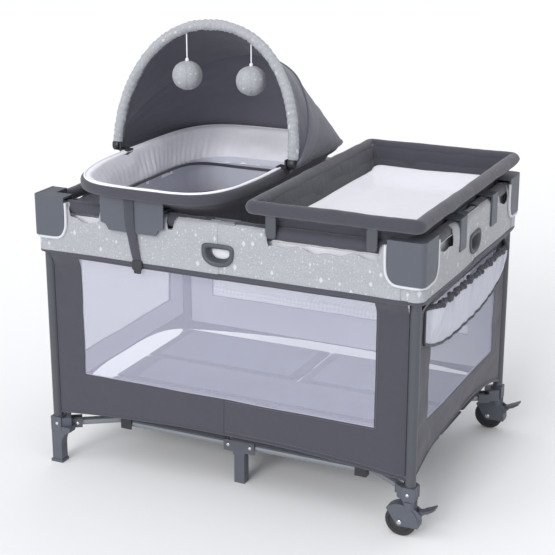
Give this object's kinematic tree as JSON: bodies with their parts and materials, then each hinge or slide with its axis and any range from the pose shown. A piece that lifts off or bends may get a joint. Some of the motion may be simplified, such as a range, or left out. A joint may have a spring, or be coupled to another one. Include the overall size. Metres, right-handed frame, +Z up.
{
  "type": "travel play yard",
  "caption": "Folding play yard with steel frame, fabric and mesh walls, corner castings, casters, a bassinet under a folding canopy with hanging toys, and a flip-away changer.",
  "frame": {"origin": "centre of the bounding box's base, on the floor", "axes": "+X along the long side towards the casters, +Y towards the back long side, +Z up"},
  "size_m": [1.045, 0.782, 1.1041],
  "materials": {
    "dark_tube": "satin powder coat",
    "steel_tube": "silver grey paint",
    "slate_plastic": "moulded, fine texture",
    "black_plastic": "moulded",
    "tyre": "smooth tread",
    "print_fabric": "printed woven fabric",
    "white_fabric": "soft knit",
    "dark_fabric": "woven polyester"
  },
  "bodies": {
    "leg_fl": {"post_fl": "dark_tube", "casting_fl": "slate_plastic", "bracket_fl": "slate_plastic", "wall_fl": "dark_fabric"},
    "leg_fr": {"post_fr": "dark_tube", "casting_fr": "slate_plastic", "bracket_fr": "slate_plastic", "wall_fr": "dark_fabric"},
    "leg_bl": {"post_bl": "dark_tube", "casting_bl": "slate_plastic", "bracket_bl": "slate_plastic", "wall_bl": "dark_fabric"},
    "leg_br": {"post_br": "dark_tube", "casting_br": "slate_plastic", "bracket_br": "slate_plastic", "wall_br": "dark_fabric"},
    "arm_fl": {"base_arm_fl": "steel_tube"},
    "knuckle_fl": {"knuckle_fl": "black_plastic"},
    "link_fl": {"base_link_fl": "steel_tube"},
    "rail_x_fl": {"long_rail_fl": "steel_tube"},
    "rail_y_fl": {"end_rail_fl": "steel_tube"},
    "arm_fr": {"base_arm_fr": "steel_tube"},
    "knuckle_fr": {"knuckle_fr": "black_plastic"},
    "link_fr": {"base_link_fr": "steel_tube"},
    "rail_x_fr": {"long_rail_fr": "steel_tube"},
    "rail_y_fr": {"end_rail_fr": "steel_tube"},
    "arm_bl": {"base_arm_bl": "steel_tube"},
    "knuckle_bl": {"knuckle_bl": "black_plastic"},
    "link_bl": {"base_link_bl": "steel_tube"},
    "rail_x_bl": {"long_rail_bl": "steel_tube"},
    "rail_y_bl": {"end_rail_bl": "steel_tube"},
    "arm_br": {"base_arm_br": "steel_tube"},
    "knuckle_br": {"knuckle_br": "black_plastic"},
    "link_br": {"base_link_br": "steel_tube"},
    "rail_x_br": {"long_rail_br": "steel_tube"},
    "rail_y_br": {"end_rail_br": "steel_tube"},
    "hub": {"hub": "slate_plastic", "floor_pad": "white_fabric"},
    "centre_foot_front": {"centre_foot_front": "slate_plastic"},
    "centre_foot_back": {"centre_foot_back": "slate_plastic"},
    "fork_fr": {"caster_fork_fr": "slate_plastic"},
    "wheel_fr": {"caster_wheel_fr": "tyre"},
    "pedal_fr": {"brake_pedal_fr": "black_plastic"},
    "fork_br": {"caster_fork_br": "slate_plastic"},
    "wheel_br": {"caster_wheel_br": "tyre"},
    "pedal_br": {"brake_pedal_br": "black_plastic"},
    "bassinet": {"bassinet_rim": "dark_fabric", "bassinet_tub": "dark_fabric", "bassinet_mattress": "white_fabric", "bassinet_bracket_front": "slate_plastic", "bassinet_bracket_back": "slate_plastic", "canopy_clip_left": "black_plastic", "canopy_clip_right": "black_plastic"},
    "canopy": {"canopy_bow": "print_fabric", "canopy_hood": "dark_fabric"},
    "toy_left": {"toy_left": "print_fabric"},
    "toy_right": {"toy_right": "print_fabric"},
    "changer_hooks": {"changer_hooks": "slate_plastic"},
    "changer": {"changer_frame": "dark_fabric", "changer_pad": "white_fabric"}
  },
  "joints": [
    {"name": "frame_fold", "type": "hinge", "parent": "leg_fl", "child": "arm_fl", "pos_m": [-0.4647, -0.301, 0.1], "axis": [0.549, -0.8358, 0], "range_deg": [0, 80], "deforming": ["floor_pad", "wall_fl", "wall_fr", "wall_bl", "wall_br"]},
    {"name": "hub_pivot_fl", "type": "hinge", "parent": "arm_fl", "child": "hub", "pos_m": [-0.0567, -0.033, 0.1], "axis": [-0.549, 0.8358, 0], "range_deg": [0, 80]},
    {"name": "knuckle_pivot_fl", "type": "hinge", "parent": "arm_fl", "child": "knuckle_fl", "pos_m": [-0.34769, -0.22414, 0.1], "axis": [-0.549, 0.8358, 0], "range_deg": [0, 80]},
    {"name": "link_pivot_fl", "type": "hinge", "parent": "knuckle_fl", "child": "link_fl", "pos_m": [-0.33969, -0.25004, 0.1], "axis": [0, -1, 0], "range_deg": [0, 80]},
    {"name": "centre_foot_pivot_front", "type": "hinge", "parent": "link_fl", "child": "centre_foot_front", "pos_m": [-0.0487, -0.25004, 0.1], "axis": [0, 1, 0], "range_deg": [0, 80]},
    {"name": "long_rail_fold_fl", "type": "hinge", "parent": "leg_fl", "child": "rail_x_fl", "pos_m": [-0.4465, -0.339, 0.686], "axis": [0, 1, 0], "range_deg": [0, 80]},
    {"name": "end_rail_fold_fl", "type": "hinge", "parent": "leg_fl", "child": "rail_y_fl", "pos_m": [-0.4965, -0.289, 0.686], "axis": [-1, 0, 0], "range_deg": [0, 80]},
    {"name": "hub_pivot_fr", "type": "hinge", "parent": "hub", "child": "arm_fr", "pos_m": [0.0197, -0.033, 0.1], "axis": [0.549, 0.8358, 0], "range_deg": [0, 80]},
    {"name": "foot_pivot_fr", "type": "hinge", "parent": "arm_fr", "child": "leg_fr", "pos_m": [0.4277, -0.301, 0.1], "axis": [-0.549, -0.8358, 0], "range_deg": [0, 80]},
    {"name": "knuckle_pivot_fr", "type": "hinge", "parent": "arm_fr", "child": "knuckle_fr", "pos_m": [0.31069, -0.22414, 0.1], "axis": [-0.549, -0.8358, 0], "range_deg": [0, 80]},
    {"name": "link_pivot_fr", "type": "hinge", "parent": "knuckle_fr", "child": "link_fr", "pos_m": [0.30269, -0.25004, 0.1], "axis": [0, 1, 0], "range_deg": [0, 80]},
    {"name": "long_rail_fold_fr", "type": "hinge", "parent": "leg_fr", "child": "rail_x_fr", "pos_m": [0.4095, -0.339, 0.686], "axis": [0, -1, 0], "range_deg": [0, 80]},
    {"name": "end_rail_fold_fr", "type": "hinge", "parent": "leg_fr", "child": "rail_y_fr", "pos_m": [0.4595, -0.289, 0.686], "axis": [-1, 0, 0], "range_deg": [0, 80]},
    {"name": "hub_pivot_bl", "type": "hinge", "parent": "hub", "child": "arm_bl", "pos_m": [-0.0567, 0.031, 0.1], "axis": [-0.549, -0.8358, 0], "range_deg": [0, 80]},
    {"name": "foot_pivot_bl", "type": "hinge", "parent": "arm_bl", "child": "leg_bl", "pos_m": [-0.4647, 0.299, 0.1], "axis": [0.549, 0.8358, 0], "range_deg": [0, 80]},
    {"name": "knuckle_pivot_bl", "type": "hinge", "parent": "arm_bl", "child": "knuckle_bl", "pos_m": [-0.34769, 0.22214, 0.1], "axis": [0.549, 0.8358, 0], "range_deg": [0, 80]},
    {"name": "link_pivot_bl", "type": "hinge", "parent": "knuckle_bl", "child": "link_bl", "pos_m": [-0.33969, 0.24804, 0.1], "axis": [0, -1, 0], "range_deg": [0, 80]},
    {"name": "centre_foot_pivot_back", "type": "hinge", "parent": "link_bl", "child": "centre_foot_back", "pos_m": [-0.0487, 0.24804, 0.1], "axis": [0, 1, 0], "range_deg": [0, 80]},
    {"name": "long_rail_fold_bl", "type": "hinge", "parent": "leg_bl", "child": "rail_x_bl", "pos_m": [-0.4465, 0.337, 0.686], "axis": [0, 1, 0], "range_deg": [0, 80]},
    {"name": "end_rail_fold_bl", "type": "hinge", "parent": "leg_bl", "child": "rail_y_bl", "pos_m": [-0.4965, 0.287, 0.686], "axis": [1, 0, 0], "range_deg": [0, 80]},
    {"name": "hub_pivot_br", "type": "hinge", "parent": "hub", "child": "arm_br", "pos_m": [0.0197, 0.031, 0.1], "axis": [-0.549, 0.8358, 0], "range_deg": [0, 80]},
    {"name": "foot_pivot_br", "type": "hinge", "parent": "arm_br", "child": "leg_br", "pos_m": [0.4277, 0.299, 0.1], "axis": [0.549, -0.8358, 0], "range_deg": [0, 80]},
    {"name": "knuckle_pivot_br", "type": "hinge", "parent": "arm_br", "child": "knuckle_br", "pos_m": [0.31069, 0.22214, 0.1], "axis": [0.549, -0.8358, 0], "range_deg": [0, 80]},
    {"name": "link_pivot_br", "type": "hinge", "parent": "knuckle_br", "child": "link_br", "pos_m": [0.30269, 0.24804, 0.1], "axis": [0, 1, 0], "range_deg": [0, 80]},
    {"name": "long_rail_fold_br", "type": "hinge", "parent": "leg_br", "child": "rail_x_br", "pos_m": [0.4095, 0.337, 0.686], "axis": [0, -1, 0], "range_deg": [0, 80]},
    {"name": "end_rail_fold_br", "type": "hinge", "parent": "leg_br", "child": "rail_y_br", "pos_m": [0.4595, 0.287, 0.686], "axis": [1, 0, 0], "range_deg": [0, 80]},
    {"name": "caster_swivel_fr", "type": "hinge", "parent": "leg_fr", "child": "fork_fr", "pos_m": [0.4595, -0.339, 0.095], "axis": [0, 0, 1], "continuous": true},
    {"name": "wheel_spin_fr", "type": "hinge", "parent": "fork_fr", "child": "wheel_fr", "pos_m": [0.4395, -0.339, 0.038], "axis": [0, 1, 0], "continuous": true},
    {"name": "brake_pedal_fr", "type": "hinge", "parent": "fork_fr", "child": "pedal_fr", "pos_m": [0.4855, -0.339, 0.06], "axis": [0, 1, 0], "range_deg": [0, 12], "stiffness_Nm_per_rad": 0.3},
    {"name": "caster_swivel_br", "type": "hinge", "parent": "leg_br", "child": "fork_br", "pos_m": [0.4595, 0.337, 0.095], "axis": [0, 0, 1], "continuous": true},
    {"name": "wheel_spin_br", "type": "hinge", "parent": "fork_br", "child": "wheel_br", "pos_m": [0.4395, 0.337, 0.038], "axis": [0, 1, 0], "continuous": true},
    {"name": "brake_pedal_br", "type": "hinge", "parent": "fork_br", "child": "pedal_br", "pos_m": [0.4855, 0.337, 0.06], "axis": [0, 1, 0], "range_deg": [0, 12], "stiffness_Nm_per_rad": 0.3},
    {"name": "bassinet_lift", "type": "slide", "parent": "hub", "child": "bassinet", "axis": [0, 0, 1], "range_m": [0, 0.3]},
    {"name": "canopy_fold", "type": "hinge", "parent": "bassinet", "child": "canopy", "pos_m": [-0.2085, -0.076, 0.782], "axis": [-1, 0, 0], "range_deg": [0, 60], "deforming": ["canopy_hood"]},
    {"name": "toy_hang_left", "type": "hinge", "parent": "canopy", "child": "toy_left", "pos_m": [-0.2845, -0.00848, 1.0816], "axis": [1, 0, 0], "range_deg": [0, 60]},
    {"name": "toy_hang_right", "type": "hinge", "parent": "canopy", "child": "toy_right", "pos_m": [-0.1035, -0.01124, 1.06936], "axis": [1, 0, 0], "range_deg": [0, 60]},
    {"name": "changer_lift", "type": "slide", "parent": "hub", "child": "changer_hooks", "axis": [0, 0, 1], "range_m": [0, 0.25]},
    {"name": "changer_flip", "type": "hinge", "parent": "changer_hooks", "child": "changer", "pos_m": [0.458, -0.001, 0.7385], "axis": [0, 1, 0], "range_deg": [0, 178]}
  ],
  "couplings": [
    {"joint": "hub_pivot_fl", "follows": "frame_fold", "ratio": 1},
    {"joint": "knuckle_pivot_fl", "follows": "frame_fold", "ratio": 1},
    {"joint": "link_pivot_fl", "follows": "frame_fold", "ratio": 1},
    {"joint": "centre_foot_pivot_front", "follows": "frame_fold", "ratio": 1},
    {"joint": "long_rail_fold_fl", "follows": "frame_fold", "ratio": 1},
    {"joint": "end_rail_fold_fl", "follows": "frame_fold", "ratio": 1},
    {"joint": "hub_pivot_fr", "follows": "frame_fold", "ratio": 1},
    {"joint": "foot_pivot_fr", "follows": "frame_fold", "ratio": 1},
    {"joint": "knuckle_pivot_fr", "follows": "frame_fold", "ratio": 1},
    {"joint": "link_pivot_fr", "follows": "frame_fold", "ratio": 1},
    {"joint": "long_rail_fold_fr", "follows": "frame_fold", "ratio": 1},
    {"joint": "end_rail_fold_fr", "follows": "frame_fold", "ratio": 1},
    {"joint": "hub_pivot_bl", "follows": "frame_fold", "ratio": 1},
    {"joint": "foot_pivot_bl", "follows": "frame_fold", "ratio": 1},
    {"joint": "knuckle_pivot_bl", "follows": "frame_fold", "ratio": 1},
    {"joint": "link_pivot_bl", "follows": "frame_fold", "ratio": 1},
    {"joint": "centre_foot_pivot_back", "follows": "frame_fold", "ratio": 1},
    {"joint": "long_rail_fold_bl", "follows": "frame_fold", "ratio": 1},
    {"joint": "end_rail_fold_bl", "follows": "frame_fold", "ratio": 1},
    {"joint": "hub_pivot_br", "follows": "frame_fold", "ratio": 1},
    {"joint": "foot_pivot_br", "follows": "frame_fold", "ratio": 1},
    {"joint": "knuckle_pivot_br", "follows": "frame_fold", "ratio": 1},
    {"joint": "link_pivot_br", "follows": "frame_fold", "ratio": 1},
    {"joint": "long_rail_fold_br", "follows": "frame_fold", "ratio": 1},
    {"joint": "end_rail_fold_br", "follows": "frame_fold", "ratio": 1},
    {"joint": "toy_hang_left", "follows": "canopy_fold", "ratio": 1},
    {"joint": "toy_hang_right", "follows": "canopy_fold", "ratio": 1}
  ]
}
